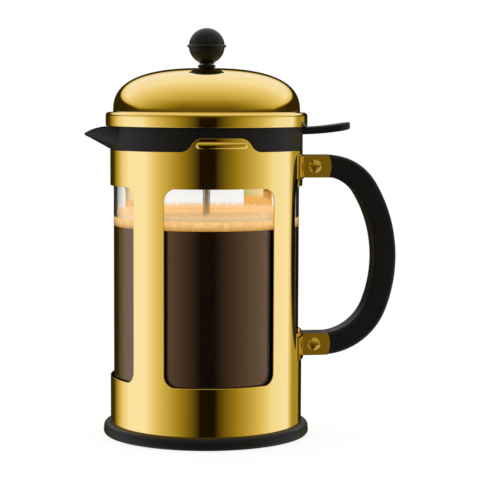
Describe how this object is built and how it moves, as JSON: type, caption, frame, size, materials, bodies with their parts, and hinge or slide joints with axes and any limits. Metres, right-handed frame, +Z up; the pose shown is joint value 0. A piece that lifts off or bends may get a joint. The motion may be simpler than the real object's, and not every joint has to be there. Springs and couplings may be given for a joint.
{
  "type": "french press",
  "caption": "Plunger coffee press: glass beaker in a polished gold-toned sleeve with windows, black D handle, spout collar with thumb lever, domed lid and ball knob.",
  "frame": {"origin": "on the jug's upright axis, at the surface the foot stands on", "axes": "+Z up, +X towards the handle, -X towards the spout, -Y the front"},
  "size_m": [0.1872, 0.1226, 0.2405],
  "materials": {
    "gold_metal": "mirror-polished gold-toned plating on steel",
    "black_plastic": "satin black moulded plastic",
    "clear_glass": "clear heat-resistant glass",
    "silicone": "dark silicone rubber",
    "steel": "satin stainless steel",
    "woven_steel": "fine woven stainless mesh",
    "brass_insert": "turned brass"
  },
  "bodies": {
    "jug": {"outer_sleeve": "gold_metal", "base_foot": "black_plastic", "beaker_pad": "silicone", "handle_grip": "black_plastic", "upper_bracket_front": "gold_metal", "upper_bracket_rear": "gold_metal", "upper_handle_screw": "gold_metal", "upper_handle_nut": "gold_metal", "lower_bracket_front": "gold_metal", "lower_bracket_rear": "gold_metal", "lower_handle_screw": "gold_metal", "lower_handle_nut": "gold_metal"},
    "beaker": {"glass_beaker": "clear_glass"},
    "collar": {"spout_collar": "black_plastic", "collar_gasket": "silicone"},
    "shutter": {"shutter_ring": "black_plastic"},
    "lid": {"lid_dome": "gold_metal", "lid_insert": "black_plastic", "lid_bushing": "black_plastic", "bushing_nut": "black_plastic"},
    "filter": {"cross_plate": "steel", "mesh_screen": "woven_steel", "spiral_plate": "steel", "edge_spring": "steel"},
    "rod": {"plunger_rod": "steel", "rod_stop": "steel", "knob": "black_plastic", "knob_insert": "brass_insert"}
  },
  "joints": [
    {"name": "beaker_lift", "type": "slide", "parent": "jug", "child": "beaker", "axis": [0, 0, 1], "range_m": [0, 0.18]},
    {"name": "collar_lift", "type": "slide", "parent": "beaker", "child": "collar", "axis": [0, 0, 1], "range_m": [0, 0.18]},
    {"name": "shutter_turn", "type": "hinge", "parent": "collar", "child": "shutter", "pos_m": [0, 0, 0.1795], "axis": [0, 0, 1], "range_deg": [0, 45]},
    {"name": "lid_lift", "type": "slide", "parent": "collar", "child": "lid", "axis": [0, 0, 1], "range_m": [0, 0.18]},
    {"name": "plunger_slide", "type": "slide", "parent": "lid", "child": "filter", "axis": [0, 0, 1], "range_m": [0, 0.145]},
    {"name": "rod_unscrew", "type": "hinge", "parent": "filter", "child": "rod", "pos_m": [0, 0, 0.018], "axis": [0, 0, 1], "continuous": true}
  ]
}
